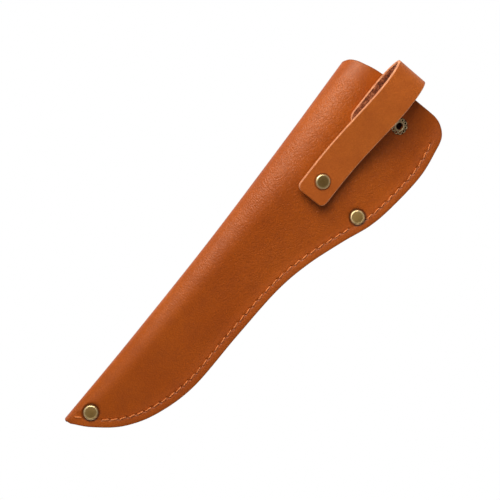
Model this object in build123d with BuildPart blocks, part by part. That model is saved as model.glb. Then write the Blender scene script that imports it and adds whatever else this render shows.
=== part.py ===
from build123d import *

import os
from math import atan2, degrees

# Leather sheath for a hori hori knife, in millimetres.
# It lies on its flat back panel: +X runs from the tip to the mouth, +Y towards the folded edge,
# +Z up towards the belt loop. The origin is on the back face, under the middle of the blade pocket.
# Plan dimensions are given as (distance from the tip, distance across from the folded edge).

TIP_X = -144.0
FOLD_Y = 26.0

# Leather
LEATHER = 2.0
WELT = 3.0
SEAM_STACK = 2 * LEATHER + WELT
SEAM_WIDTH = 9.0
FOLD_RIM = 3.0
HEADROOM = 30.0

# Plan outline, from the tip round the sewn edge to the mouth, and back along the fold
TIP_SEAM_END = (-2.4, -4.3)
TIP_NOSE = (-2.3, -1.8)
TIP_FOLD_END = (-1.0, 0.3)
SEAM_EDGE = [
    TIP_SEAM_END, (3.6, -15.8), (15.6, -30.6), (33.6, -41.9), (60.0, -49.5), (100.0, -51.4), (136.0, -53.7),
    (160.0, -58.6), (184.0, -67.0), (203.0, -74.6), (222.0, -78.3), (246.0, -80.2), (267.0, -77.4),
]
MOUTH_SEAM_CORNER = (278.4, -64.0)
MOUTH_FOLD_CORNER = (277.2, -24.0)
FOLD_SHOULDER = [(275.0, -10.0), (272.4, -2.8)]
MOUTH_FOLD_END = (267.5, 0.4)
FOLD_MIDDLE = (133.0, -2.3)

# Cross-sections: (from the tip, inner edge of the flat seam, ridge across, ridge height)
SECTIONS = [
    (-6.0, -9.0, -6.0, 7.1),
    (30.0, -31.0, -12.0, 9.2),
    (90.0, -42.0, -14.0, 11.6),
    (150.0, -47.0, -16.0, 12.8),
    (200.0, -64.5, -20.0, 15.3),
    (245.0, -70.0, -20.0, 16.2),
    (284.0, -70.0, -20.0, 16.2),
]
FOLD_HEIGHT_RATIO = 0.47
FOLD_FLAT_START = -7.0
SECTION_REACH = -95.0
POCKET_START = 20.0
WELT_CLEAR = 40.0

# Seam
STITCH_INSET = 4.8
STITCH_PITCH = 5.8
STITCH_LENGTH = 4.4
STITCH_SLANT = 9.0
THREAD = 1.0
GROOVE_WIDTH = 2.0
GROOVE_DEPTH = 0.5
SEAM_FIRST = 0.012
SEAM_LAST = 0.985
BACK_TRIM = 0.05
WELT_START = 0.1
GROOVE_POINTS = 26

# Belt-loop strap: it lies square to the sloping front panel
PANEL_SLOPE = 10.4
STRAP_ACROSS = -32.5
STRAP_SEAT = 13.95
PANEL_SLACK = 0.14
STRAP_WIDTH = 21.0
STRAP_REACH = 105.0
FLAP_END = 192.4
FLAP_CORNER = 3.0
ANCHOR_END = 242.5
ANCHOR_CORNER = 6.5
FLAP_LIFT = 4.3
FLAP_RISE_START = (213.0, FLAP_LIFT)
FLAP_CREST = [(240.0, 9.8), (268.0, 17.4)]
FOLD_TIP = (287.4, 10.0)
FOLD_UNDERSIDE = (280.2, 3.4)
ANCHOR_TOUCH = (264.0, LEATHER / 2)
SPLIT_GAP = 0.1

# Metal fittings
TIP_RIVET = (10.2, -10.1)
THROAT_RIVET = (201.5, -65.3)
ANCHOR_RIVET = 254.0
SNAP = 204.7
CAP_RADIUS = 4.7
CAP_FLAT_RADIUS = 3.9
CAP_RIM = 0.8
CAP_HEIGHT = 1.6
SEAT_DEPTH = 0.3
SEAT_RADIUS = CAP_RADIUS + 0.4
POST_RADIUS = 1.4
POST_CLEARANCE = 0.02
TUBE_RADIUS = 1.9
BASE_CAP = 1.0
TUBE_FLOOR = 0.4
TUBE_SHORT = 0.35

# Snap fastener, heights above the strap's seat
SNAP_PANEL = -0.5
SOCKET_RADIUS = 4.6
SOCKET_FOOT = 0.1
SOCKET_ROOF = 2.4
SOCKET_BORE = 2.25
SPRING_RADIUS = 2.5
SPRING_WIRE = 0.22
STUD_NECK = 1.45
STUD_BALL = 1.9
STUD_TOP = 1.8
STUD_PLATE = 4.0
PLATE = 0.6
TUBE_BORE = 1.0
TUBE_WALL = 0.5
ROLLED_END = 0.25
SPRING_HEIGHT = 0.75
SPRING_GROOVE = 0.27
SPRING_ARC = 330.0

# Lanyard eyelet
EYELET = (260.0, -18.4)
EYELET_SEAT = -0.25
EYELET_BORE = 2.1
EYELET_BARREL = 2.6
EYELET_FLANGE = 4.3
WASHER_RADIUS = 5.25
WASHER = 0.35
PETALS = 10
PETAL_RING = 4.05
PETAL_RADIUS = 0.95
PETAL_HOLE = 0.4
PETAL_HEIGHT = 0.55
RIM_RADIUS = 3.3
RIM_HEIGHT = 1.0

os.makedirs("parts", exist_ok=True)


def sheath_plane(height):
    """Level plane whose origin is at the tip end of the folded edge."""
    return Plane(origin=(TIP_X, FOLD_Y, height))


def cross_plane(along):
    """Upright plane across the sheath, local x across it and local y up."""
    return Plane(origin=(TIP_X + along, FOLD_Y, 0), x_dir=(0, 1, 0), z_dir=(1, 0, 0))


def strap_plane(height):
    """Plane parallel to the sloping front panel, at a height above it, on the strap's centre line."""
    seat = Plane(origin=(TIP_X, FOLD_Y + STRAP_ACROSS, STRAP_SEAT), x_dir=(1, 0, 0)).rotated((PANEL_SLOPE, 0, 0))
    return seat.offset(height)


def seat_at(plane, along, across):
    """Seat of a fitting on a plane: its z points away from the leather."""
    return Plane(origin=plane.from_local_coords((along, across, 0)), x_dir=plane.x_dir, z_dir=plane.z_dir)


def axial_plane(seat):
    """Plane through a seat's axis, local x as radius and local y as height."""
    return Plane(origin=seat.origin, x_dir=seat.x_dir, z_dir=-seat.y_dir)


def turned(seat, profile):
    """Solid of revolution about a seat's axis, from a (radius, height) profile."""
    with BuildPart() as piece:
        with BuildSketch(axial_plane(seat)):
            with BuildLine():
                Polyline(*profile, close=True)
            make_face()
        revolve(axis=Axis(seat.origin, seat.z_dir))
    return piece.part


def keep(part, name):
    """Label a finished piece and write it."""
    part.label = name
    export_step(part, f"parts/{name}.step")


def draw_outline():
    """Plan outline of the sheath, drawn into the open sketch."""
    with BuildLine() as outline:
        seam = Spline(*SEAM_EDGE)
        TangentArc(SEAM_EDGE[-1], MOUTH_SEAM_CORNER, tangent=seam % 1)
        Line(MOUTH_SEAM_CORNER, MOUTH_FOLD_CORNER)
        Spline(MOUTH_FOLD_CORNER, *FOLD_SHOULDER, MOUTH_FOLD_END, tangents=[(0, 1), (-1, 0)])
        ThreePointArc(MOUTH_FOLD_END, FOLD_MIDDLE, TIP_FOLD_END)
        ThreePointArc(TIP_FOLD_END, TIP_NOSE, TIP_SEAM_END)
    make_face(outline.edges())


def draw_section(flat_edge, ridge_across, ridge, inset, floor):
    """Closed cross-section of the folded leather: flat back, rolled fold, sloping front."""
    front = (ridge_across, ridge - inset)
    back = (FOLD_FLAT_START - inset, floor)
    stack = SEAM_STACK - inset
    rise = (ridge_across - flat_edge, ridge - SEAM_STACK)
    with BuildLine() as section:
        Spline(front, (-inset, FOLD_HEIGHT_RATIO * ridge), back, tangents=[rise, (-1, 0)])
        Polyline(back, (SECTION_REACH, floor), (SECTION_REACH, stack), (flat_edge, stack), front)
    make_face(section.edges())


def inside_seam(edge, fraction, inset):
    """Point at an inset from the sewn edge, measured square to it."""
    along = edge % fraction
    return edge @ fraction + Vector(-along.Y, along.X) * inset


with BuildLine() as seam_line:
    Spline(*SEAM_EDGE)
seam_edge = seam_line.edge()

# ---------------------------------------------------------------- seam layout
def stitch_clear(point):
    """True where a stitch isn't hidden by a rivet's cap."""
    reach = CAP_RADIUS + STITCH_LENGTH / 2
    return all((point - Vector(*rivet)).length > reach for rivet in (TIP_RIVET, THROAT_RIVET))


def seam_stitches():
    """Centre and direction of each stitch along the sewn edge."""
    count = round((SEAM_LAST - SEAM_FIRST) * seam_edge.length / STITCH_PITCH)
    stitches = []
    for number in range(count + 1):
        fraction = SEAM_FIRST + (SEAM_LAST - SEAM_FIRST) * number / count
        along = seam_edge % fraction
        centre = inside_seam(seam_edge, fraction, STITCH_INSET)
        if stitch_clear(centre):
            stitches.append((centre, degrees(atan2(along.Y, along.X))))
    return stitches


def draw_groove():
    """Band that the thread is sunk in, drawn into the open sketch."""
    points = [inside_seam(seam_edge, step / GROOVE_POINTS, STITCH_INSET) for step in range(GROOVE_POINTS + 1)]
    with BuildLine() as groove:
        Spline(*points)
    trace(groove.edge(), line_width=GROOVE_WIDTH)


def sew(height, slant):
    """One row of slanted stitches, each a separate solid, standing on a groove's floor."""
    with BuildPart() as thread:
        with BuildSketch(sheath_plane(height)):
            for centre, angle in seam_stitches():
                with Locations(centre):
                    SlotOverall(STITCH_LENGTH, THREAD, rotation=angle + slant)
        extrude(amount=THREAD / 2)
    return thread.part


# ---------------------------------------------------------------- fittings
def rivet(seat, grip, name):
    """Two-part cap rivet: a cap with its post, and a base whose tube takes the post."""
    foot = -grip - BASE_CAP
    post_end = foot + 2 * TUBE_FLOOR
    bore = POST_RADIUS + POST_CLEARANCE
    tube_top = -TUBE_SHORT * grip
    cap = turned(seat, [
        (0, CAP_HEIGHT), (CAP_FLAT_RADIUS, CAP_HEIGHT), (CAP_RADIUS, CAP_RIM), (CAP_RADIUS, 0),
        (POST_RADIUS, 0), (POST_RADIUS, post_end), (0, post_end),
    ])
    base = turned(seat, [
        (0, foot), (CAP_RADIUS - TUBE_FLOOR, foot), (CAP_RADIUS, foot + TUBE_FLOOR), (CAP_RADIUS, -grip),
        (TUBE_RADIUS, -grip), (TUBE_RADIUS, tube_top), (bore, tube_top), (bore, foot + TUBE_FLOOR),
        (0, foot + TUBE_FLOOR),
    ])
    keep(cap, f"{name}_rivet_cap")
    keep(base, f"{name}_rivet_base")


# ---------------------------------------------------------------- welt and pocket shapes
# The pocket's plan is everything inside the sewn edge's welt; it runs out through the mouth.
with BuildPart() as pocket_plan:
    with BuildSketch(sheath_plane(0)):
        with BuildLine():
            inner = Spline(*[
                inside_seam(seam_edge, WELT_START + (1 - WELT_START) * step / GROOVE_POINTS, SEAM_WIDTH)
                for step in range(GROOVE_POINTS + 1)
            ])
            mouth_end = (SECTIONS[-1][0], (inner @ 1).Y)
            Polyline(inner @ 1, mouth_end, (mouth_end[0], HEADROOM), (POCKET_START, HEADROOM), inner @ 0)
        make_face()
        with Locations(THROAT_RIVET):
            Circle(CAP_RADIUS + LEATHER, mode=Mode.SUBTRACT)
    extrude(amount=HEADROOM)

with BuildPart() as pocket:
    for along, flat_edge, ridge_across, ridge in SECTIONS:
        with BuildSketch(cross_plane(along)):
            draw_section(flat_edge, ridge_across, ridge, LEATHER, LEATHER)
    loft()
    add(pocket_plan.part, mode=Mode.INTERSECT)

with BuildPart() as welt_blank:
    with BuildSketch(sheath_plane(LEATHER)):
        draw_outline()
    extrude(amount=WELT)
    add(pocket_plan.part, mode=Mode.SUBTRACT)
    with BuildSketch(sheath_plane(LEATHER)):
        Rectangle(2 * WELT_CLEAR, 2 * FOLD_RIM)
    extrude(amount=WELT, mode=Mode.SUBTRACT)

with BuildPart() as edge_welt:
    add(welt_blank.part)
    with BuildSketch(sheath_plane(0)):
        with Locations(TIP_RIVET, THROAT_RIVET):
            Circle(TUBE_RADIUS)
    extrude(amount=HEADROOM, mode=Mode.SUBTRACT)
keep(edge_welt.part, "edge_welt")

# ---------------------------------------------------------------- sheath body
# Drawn slightly too deep, then cut to the outline from its seat up, so the back is one true plane
with BuildPart() as sheath_body:
    for along, flat_edge, ridge_across, ridge in SECTIONS:
        with BuildSketch(cross_plane(along)):
            draw_section(flat_edge, ridge_across, ridge, 0, -BACK_TRIM)
    loft()
    with BuildSketch(sheath_plane(0)):
        draw_outline()
    extrude(amount=HEADROOM, mode=Mode.INTERSECT)
    add(pocket.part, mode=Mode.SUBTRACT)
    add(welt_blank.part, mode=Mode.SUBTRACT)

    # Grooves for the two threads, in the front and in the back
    with BuildSketch(sheath_plane(SEAM_STACK - GROOVE_DEPTH)):
        draw_groove()
    extrude(amount=LEATHER, mode=Mode.SUBTRACT)
    with BuildSketch(sheath_plane(GROOVE_DEPTH)):
        draw_groove()
    extrude(amount=-LEATHER, mode=Mode.SUBTRACT)

    # Seam rivets: through holes, a pressed seat in front and a flush recess behind
    with BuildSketch(sheath_plane(0)):
        with Locations(TIP_RIVET, THROAT_RIVET):
            Circle(TUBE_RADIUS)
    extrude(amount=HEADROOM, mode=Mode.SUBTRACT)
    with BuildSketch(sheath_plane(SEAM_STACK - SEAT_DEPTH)):
        with Locations(TIP_RIVET, THROAT_RIVET):
            Circle(SEAT_RADIUS)
    extrude(amount=HEADROOM, mode=Mode.SUBTRACT)
    with BuildSketch(sheath_plane(BASE_CAP)):
        with Locations(TIP_RIVET, THROAT_RIVET):
            Circle(SEAT_RADIUS)
    extrude(amount=-LEATHER, mode=Mode.SUBTRACT)

    # Holes in the front panel for the strap rivet, the snap post and the eyelet
    with BuildSketch(strap_plane(LEATHER)):
        with Locations((ANCHOR_RIVET, 0)):
            Circle(TUBE_RADIUS)
        with Locations((SNAP, 0)):
            Circle(TUBE_BORE)
        with Locations(EYELET):
            Circle(EYELET_BARREL)
    extrude(amount=-3 * LEATHER, mode=Mode.SUBTRACT)
keep(sheath_body.part, "sheath_body")

# ---------------------------------------------------------------- threads and seam rivets
keep(sew(SEAM_STACK - GROOVE_DEPTH, STITCH_SLANT), "top_thread")
keep(sew(0, -STITCH_SLANT), "bobbin_thread")
seam_seat = sheath_plane(SEAM_STACK - SEAT_DEPTH)
seam_grip = SEAM_STACK - SEAT_DEPTH - BASE_CAP
rivet(seat_at(seam_seat, *TIP_RIVET), seam_grip, "tip")
rivet(seat_at(seam_seat, *THROAT_RIVET), seam_grip, "throat")

# ---------------------------------------------------------------- belt-loop strap
# One strip of leather in two halves that meet at the tip of the fold, where the loop hinges.
with BuildPart() as belt_strap_flap:
    with BuildSketch(axial_plane(strap_plane(0))):
        with BuildLine():
            Line((FLAP_END, FLAP_LIFT), FLAP_RISE_START)
            Spline(
                FLAP_RISE_START, *FLAP_CREST, (FOLD_TIP[0], FOLD_TIP[1] + SPLIT_GAP / 2),
                tangents=[(1, 0), (0, -1)],
            )
        trace(line_width=LEATHER)
    extrude(amount=STRAP_WIDTH / 2, both=True)
    with BuildSketch(strap_plane(0)) as flap_plan:
        with Locations((FLAP_END + STRAP_REACH / 2, 0)):
            Rectangle(STRAP_REACH, STRAP_WIDTH)
        fillet(flap_plan.vertices().sort_by(Axis.X)[:2], radius=FLAP_CORNER)
        with Locations((SNAP, 0)):
            Circle(TUBE_BORE + TUBE_WALL, mode=Mode.SUBTRACT)
    extrude(amount=HEADROOM, mode=Mode.INTERSECT)
    with BuildSketch(strap_plane(FLAP_LIFT + LEATHER / 2 - SEAT_DEPTH)):
        with Locations((SNAP, 0)):
            Circle(SEAT_RADIUS)
    extrude(amount=LEATHER, mode=Mode.SUBTRACT)
keep(belt_strap_flap.part, "belt_strap_flap")

with BuildPart() as belt_strap_anchor:
    with BuildSketch(axial_plane(strap_plane(0))):
        with BuildLine():
            Line((ANCHOR_END, LEATHER / 2), ANCHOR_TOUCH)
            Spline(
                ANCHOR_TOUCH, FOLD_UNDERSIDE, (FOLD_TIP[0], FOLD_TIP[1] - SPLIT_GAP / 2),
                tangents=[(1, 0), (0, 1)],
            )
        trace(line_width=LEATHER)
    extrude(amount=STRAP_WIDTH / 2, both=True)
    with BuildSketch(strap_plane(0)) as anchor_plan:
        with Locations((ANCHOR_END + STRAP_REACH / 2, 0)):
            Rectangle(STRAP_REACH, STRAP_WIDTH)
        fillet(anchor_plan.vertices().sort_by(Axis.X)[:2], radius=ANCHOR_CORNER)
        with Locations((ANCHOR_RIVET, 0)):
            Circle(TUBE_RADIUS, mode=Mode.SUBTRACT)
    extrude(amount=HEADROOM, mode=Mode.INTERSECT)
    with BuildSketch(strap_plane(LEATHER - SEAT_DEPTH)):
        with Locations((ANCHOR_RIVET, 0)):
            Circle(SEAT_RADIUS)
    extrude(amount=LEATHER, mode=Mode.SUBTRACT)
keep(belt_strap_anchor.part, "belt_strap_anchor")

strap_grip = 2 * (LEATHER + PANEL_SLACK) - SEAT_DEPTH
rivet(seat_at(strap_plane(LEATHER - SEAT_DEPTH), ANCHOR_RIVET, 0), strap_grip + PANEL_SLACK, "strap")

# ---------------------------------------------------------------- snap fastener
# Heights are above the strap's seat. The cap's tube is rolled out under the socket's roof,
# and the post's tube runs up the bore of the stud.
snap_seat = seat_at(strap_plane(0), SNAP, 0)
flap_under = FLAP_LIFT - LEATHER / 2
flap_seat = FLAP_LIFT + LEATHER / 2 - SEAT_DEPTH
tube_outer = TUBE_BORE + TUBE_WALL
panel_under = SNAP_PANEL - LEATHER - 2 * PANEL_SLACK

keep(turned(snap_seat, [
    (0, flap_seat + CAP_HEIGHT), (CAP_FLAT_RADIUS, flap_seat + CAP_HEIGHT), (CAP_RADIUS, flap_seat + CAP_RIM),
    (CAP_RADIUS, flap_seat), (tube_outer, flap_seat), (tube_outer, SOCKET_ROOF),
    (tube_outer + TUBE_WALL, SOCKET_ROOF), (tube_outer + TUBE_WALL, SOCKET_ROOF - ROLLED_END),
    (TUBE_BORE, SOCKET_ROOF - ROLLED_END), (TUBE_BORE, flap_seat), (0, flap_seat),
]), "snap_cap")

keep(turned(snap_seat, [
    (SOCKET_BORE, SOCKET_FOOT), (SOCKET_RADIUS - TUBE_WALL, SOCKET_FOOT), (SOCKET_RADIUS, SOCKET_FOOT + TUBE_WALL),
    (SOCKET_RADIUS, flap_under), (tube_outer, flap_under), (tube_outer, SOCKET_ROOF),
    (SOCKET_BORE, SOCKET_ROOF), (SOCKET_BORE, SPRING_HEIGHT + SPRING_GROOVE),
    (SPRING_RADIUS + SPRING_GROOVE, SPRING_HEIGHT + SPRING_GROOVE),
    (SPRING_RADIUS + SPRING_GROOVE, SPRING_HEIGHT - SPRING_GROOVE), (SOCKET_BORE, SPRING_HEIGHT - SPRING_GROOVE),
]), "snap_socket")

with BuildPart() as snap_spring:
    with BuildSketch(axial_plane(snap_seat)):
        with Locations((SPRING_RADIUS, SPRING_HEIGHT)):
            Circle(SPRING_WIRE)
    revolve(axis=Axis(snap_seat.origin, snap_seat.z_dir), revolution_arc=SPRING_ARC)
keep(snap_spring.part, "snap_spring")

stud_bore = TUBE_BORE + POST_CLEARANCE
keep(turned(snap_seat, [
    (stud_bore, SNAP_PANEL), (STUD_PLATE, SNAP_PANEL), (STUD_PLATE - TUBE_WALL, SNAP_PANEL + PLATE),
    (STUD_NECK, SNAP_PANEL + PLATE), (STUD_NECK, SPRING_HEIGHT), (STUD_BALL, SPRING_HEIGHT + TUBE_WALL),
    (STUD_BALL - TUBE_WALL, STUD_TOP), (0, STUD_TOP), (0, STUD_TOP - PLATE), (stud_bore, STUD_TOP - PLATE),
]), "snap_stud")

keep(turned(snap_seat, [
    (TUBE_BORE - TUBE_WALL / 2, panel_under - PLATE), (STUD_PLATE, panel_under - PLATE), (STUD_PLATE, panel_under),
    (TUBE_BORE, panel_under), (TUBE_BORE, STUD_TOP - 2 * PLATE), (TUBE_BORE - TUBE_WALL / 2, STUD_TOP - 2 * PLATE),
]), "snap_post")

# ---------------------------------------------------------------- lanyard eyelet
eyelet_seat = seat_at(strap_plane(EYELET_SEAT), *EYELET)
eyelet_under = -LEATHER - PANEL_SLACK
keep(turned(eyelet_seat, [
    (EYELET_BARREL, 0), (WASHER_RADIUS, 0), (WASHER_RADIUS, WASHER), (EYELET_BARREL, WASHER),
]), "eyelet_washer")

with BuildPart() as lanyard_eyelet:
    with BuildSketch(axial_plane(eyelet_seat)):
        with BuildLine():
            Polyline(
                (EYELET_BORE, RIM_HEIGHT), (RIM_RADIUS - TUBE_WALL, RIM_HEIGHT), (RIM_RADIUS, WASHER),
                (EYELET_BARREL, WASHER), (EYELET_BARREL, eyelet_under), (EYELET_FLANGE, eyelet_under),
                (EYELET_FLANGE, eyelet_under - TUBE_WALL), (EYELET_BORE, eyelet_under - TUBE_WALL), close=True,
            )
        make_face()
    revolve(axis=Axis(eyelet_seat.origin, eyelet_seat.z_dir))
    with BuildSketch(eyelet_seat.offset(WASHER)):
        with PolarLocations(PETAL_RING, PETALS):
            Circle(PETAL_RADIUS)
            Circle(PETAL_HOLE, mode=Mode.SUBTRACT)
        Circle(EYELET_BARREL, mode=Mode.SUBTRACT)
    extrude(amount=PETAL_HEIGHT)
keep(lanyard_eyelet.part, "lanyard_eyelet")
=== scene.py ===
import math

import bpy
import numpy as np
from mathutils import Matrix, Vector


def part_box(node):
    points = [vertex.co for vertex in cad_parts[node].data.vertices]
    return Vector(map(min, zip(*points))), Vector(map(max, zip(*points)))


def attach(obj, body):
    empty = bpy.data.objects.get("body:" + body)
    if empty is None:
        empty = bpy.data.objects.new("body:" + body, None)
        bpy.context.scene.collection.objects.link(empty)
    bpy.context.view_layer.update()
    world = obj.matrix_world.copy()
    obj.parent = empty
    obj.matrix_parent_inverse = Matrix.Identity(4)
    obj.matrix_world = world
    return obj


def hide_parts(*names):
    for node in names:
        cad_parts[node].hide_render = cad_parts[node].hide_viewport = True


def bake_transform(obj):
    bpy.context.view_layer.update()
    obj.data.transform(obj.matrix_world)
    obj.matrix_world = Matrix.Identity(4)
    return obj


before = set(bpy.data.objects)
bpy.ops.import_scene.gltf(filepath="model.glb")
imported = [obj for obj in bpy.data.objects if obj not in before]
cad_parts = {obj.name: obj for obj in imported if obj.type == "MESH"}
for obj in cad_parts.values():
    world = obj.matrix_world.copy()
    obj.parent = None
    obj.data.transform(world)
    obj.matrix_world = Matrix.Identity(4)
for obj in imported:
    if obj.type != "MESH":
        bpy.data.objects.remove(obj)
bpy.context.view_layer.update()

# Leather sheath for a hori hori knife. Shapes are worked out in millimetres as (distance from the tip,
# distance across from the folded edge, height) and turned into metres in the frame by place().
MM = 0.001
TINY = 1e-9
BODY_LOW, BODY_HIGH = (Vector(corner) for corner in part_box("sheath_body"))
# The tip's nose lies before the point that lengths start from, and the fold bulges past where widths start
TIP_NOSE_X = -2.4
FOLD_BULGE = 0.4
TIP_X = BODY_LOW.x / MM - TIP_NOSE_X
FOLD_Y = BODY_HIGH.y / MM - FOLD_BULGE

# Thickness of the leather and of the sewn edge, the flat beside the seam, and the radius of a cap
LEATHER = 2.0
SEAM_STACK = 7.0
SEAM_WIDTH = 9.0
CAP_RADIUS = 4.7

# Sewn edge in plan, from the tip to the mouth, as (along, across)
SEAM_EDGE = [
    (-2.4, -4.3), (3.6, -15.8), (15.6, -30.6), (33.6, -41.9), (60.0, -49.5), (100.0, -51.4), (136.0, -53.7),
    (160.0, -58.6), (184.0, -67.0), (203.0, -74.6), (222.0, -78.3), (246.0, -80.2), (267.0, -77.4),
]
# Mouth's rim in plan, from the sewn edge to the fold, as (across, along)
MOUTH_RIM = [
    (-77.4, 267.0), (-75.8, 271.2), (-72.4, 275.0), (-67.0, 277.8), (-58.0, 278.3), (-24.0, 277.2),
    (-10.0, 275.0), (-4.5, 273.6), (-1.2, 271.6), (0.4, 268.4),
]
# Folded edge in plan, as (along, across)
FOLD_EDGE = [(-2.4, 0.0), (60.0, -1.8), (133.0, -2.7), (200.0, -1.7), (278.0, 0.4)]
# Ridge where the sloping front panel rolls over: (along, distance in from the fold) and (along, height)
RIDGE_ACROSS = [(-6.0, 6.0), (30.0, 12.0), (90.0, 14.0), (150.0, 16.0), (200.0, 20.0), (284.0, 20.0)]
RIDGE_HEIGHT = [
    (-6.0, 7.1), (30.0, 9.2), (90.0, 11.6), (150.0, 12.8), (200.0, 15.3), (245.0, 16.2), (284.0, 16.2),
]
# Height of the fold's outermost line as a share of the ridge's, and where the flat back starts from the fold
FOLD_RATIO = 0.47
BACK_START = 7.0

# Stitches. The first and last lie at these shares of the seam's length
STITCH_INSET = 4.8
STITCH_PITCH = 5.8
STITCH_LENGTH = 4.1
STITCH_SLANT = math.radians(9.0)
SEAM_FIRST = 0.012
SEAM_LAST = 0.985

# Belt-loop strap, in the plane of the front panel. Its path is (along, out) through the leather's middle
STRAP_ACROSS = -32.5
STRAP_SEAT = 13.95
PANEL_SLOPE = math.radians(10.4)
STRAP_WIDTH = 21.0
STRAP_PATH = [
    (242.5, 1.0), (253.0, 1.0), (264.0, 1.15), (273.0, 1.9), (280.6, 4.2), (285.6, 7.4), (287.4, 10.4),
    (285.9, 13.4), (281.0, 16.0), (274.0, 17.1), (266.0, 16.9), (256.0, 14.7), (246.0, 11.6), (236.0, 8.6),
    (226.0, 6.2), (216.0, 4.8), (206.0, 4.35), (192.4, 4.3),
]
FLAP_CORNER = 4.0
ANCHOR_CORNER = 6.5
# The fold between the fixed end and the flap: where it starts and stops along, and the span that bends
FOLD_FROM = 264.0
FOLD_TO = 266.0

# Metal fittings, in the strap's plane
ANCHOR_RIVET = 254.0
SNAP = 204.7
FLAP_TOP = 5.3
EYELET = (260.0, -18.4)
EYELET_SEAT = -0.25
CAP_SINK = 0.3


# ------------------------------------------------------------------ places
def place(point):
    """Millimetres from the tip end of the fold to a point in the frame, in metres."""
    return Vector(((TIP_X + point[0]) * MM, (FOLD_Y + point[1]) * MM, point[2] * MM))


STRAP_ALONG = Vector((1, 0, 0))
STRAP_SIDE = Vector((0, math.cos(PANEL_SLOPE), math.sin(PANEL_SLOPE)))
STRAP_OUT = Vector((0, -math.sin(PANEL_SLOPE), math.cos(PANEL_SLOPE)))
STRAP_ORIGIN = place((0, STRAP_ACROSS, STRAP_SEAT))


def strap_place(along, side, out):
    """Millimetres in the strap's tilted plane to a point in the frame, in metres."""
    return STRAP_ORIGIN + (STRAP_ALONG * along + STRAP_SIDE * side + STRAP_OUT * out) * MM


def node_centre(node):
    """Middle of a CAD node's box, in metres."""
    low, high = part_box(node)
    return (Vector(low) + Vector(high)) / 2


# ------------------------------------------------------------------ curves
SEAM_STEPS = 40
SEAM_SPACING = 0.5


def smooth(points):
    """Smooth curve y(x) through points with no overshoot, as a function of an array."""
    xs, ys = (np.array(axis, float) for axis in zip(*points))
    width = np.diff(xs)
    rise = np.diff(ys) / width
    slope = np.zeros(len(xs))
    same = rise[:-1] * rise[1:] > 0
    mean = 2 * rise[:-1] * rise[1:] / np.where(same, rise[:-1] + rise[1:], 1)
    slope[1:-1] = np.where(same, mean, 0)
    slope[0], slope[-1] = rise[0], rise[-1]

    def curve(x):
        x = np.clip(np.asarray(x, float), xs[0], xs[-1])
        k = np.clip(np.searchsorted(xs, x) - 1, 0, len(width) - 1)
        t = (x - xs[k]) / width[k]
        return (
            ys[k] * (1 + 2 * t) * (1 - t) ** 2 + slope[k] * width[k] * t * (1 - t) ** 2
            + ys[k + 1] * t * t * (3 - 2 * t) + slope[k + 1] * width[k] * t * t * (t - 1)
        )
    return curve


def catmull(points, steps):
    """Smooth path through points, as an array."""
    points = np.array(points, float)
    before = 2 * points[0] - points[1]
    after = 2 * points[-1] - points[-2]
    p = np.vstack([before, points, after])
    t = np.linspace(0, 1, steps, endpoint=False)[:, None]
    spans = []
    for a, b, c, d in zip(p, p[1:], p[2:], p[3:]):
        square = (2 * a - 5 * b + 4 * c - d) * t**2
        cube = (3 * b - a - 3 * c + d) * t**3
        spans.append(0.5 * (2 * b + (c - a) * t + square + cube))
    return np.vstack([*spans, points[-1:]])


def even(path, spacing):
    """The same path with its points evenly spaced, and their distance along it."""
    length = distance_along(path)
    count = max(2, round(length[-1] / spacing) + 1)
    at = np.linspace(0, length[-1], count)
    return resample(path, length, at), at


def distance_along(path):
    """Distance along a path at each of its points."""
    return np.concatenate([[0], np.cumsum(np.linalg.norm(np.diff(path, axis=0), axis=1))])


def resample(path, length, at):
    """Points of a path at the distances asked for."""
    return np.column_stack([np.interp(at, length, axis) for axis in path.T])


def directions(path):
    """Unit direction of a path at each of its points."""
    along = np.gradient(path, axis=0)
    along /= np.linalg.norm(along, axis=1)[:, None]
    return along


SEAM_CURVE = catmull(SEAM_EDGE, SEAM_STEPS)
fold_across = smooth(FOLD_EDGE)
ridge_across = smooth(RIDGE_ACROSS)
ridge_height = smooth(RIDGE_HEIGHT)


def seam_across(x):
    """Where the sewn edge is, across from the fold."""
    return np.interp(x, SEAM_CURVE[:, 0], SEAM_CURVE[:, 1])


def seam_line(inset):
    """Line at an inset from the sewn edge: its points, its directions and the distance along the edge."""
    edge, at = even(SEAM_CURVE, SEAM_SPACING)
    along = directions(edge)
    return edge + np.column_stack([-along[:, 1], along[:, 0]]) * inset, along, at


# ------------------------------------------------------------------ meshes
def make_mesh(name, vertices, faces, materials, face_material=None, uvs=None):
    """Smooth-shaded mesh object from points in metres."""
    mesh = bpy.data.meshes.new(name)
    mesh.from_pydata([tuple(v) for v in vertices], [], [tuple(f) for f in faces])
    for material in materials:
        mesh.materials.append(material)
    if face_material is not None:
        mesh.polygons.foreach_set("material_index", np.array(face_material, np.int32))
    if uvs is not None:
        layer = mesh.uv_layers.new(name="UVMap")
        corners = np.empty(len(mesh.loops), np.int32)
        mesh.loops.foreach_get("vertex_index", corners)
        layer.data.foreach_set("uv", np.asarray(uvs, np.float32)[corners].ravel())
    mesh.polygons.foreach_set("use_smooth", [True] * len(mesh.polygons))
    mesh.update()
    obj = bpy.data.objects.new(name, mesh)
    bpy.context.scene.collection.objects.link(obj)
    return obj


def write_attribute(obj, name, values):
    """A number on each vertex, which the object's materials read."""
    layer = obj.data.attributes.new(name, "FLOAT", "POINT")
    layer.data.foreach_set("value", np.asarray(values, np.float32))


def quads(index, outward):
    """Faces of a grid of vertex numbers."""
    a, b, c, d = index[:-1, :-1], index[:-1, 1:], index[1:, 1:], index[1:, :-1]
    order = (a, d, c, b) if outward else (a, b, c, d)
    return np.stack(order, axis=2).reshape(-1, 4)


def tube_quads(index, outward):
    """Faces of a grid of vertex numbers whose last column meets its first."""
    return quads(np.column_stack([index, index[:, 0]]), outward).tolist()


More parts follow.
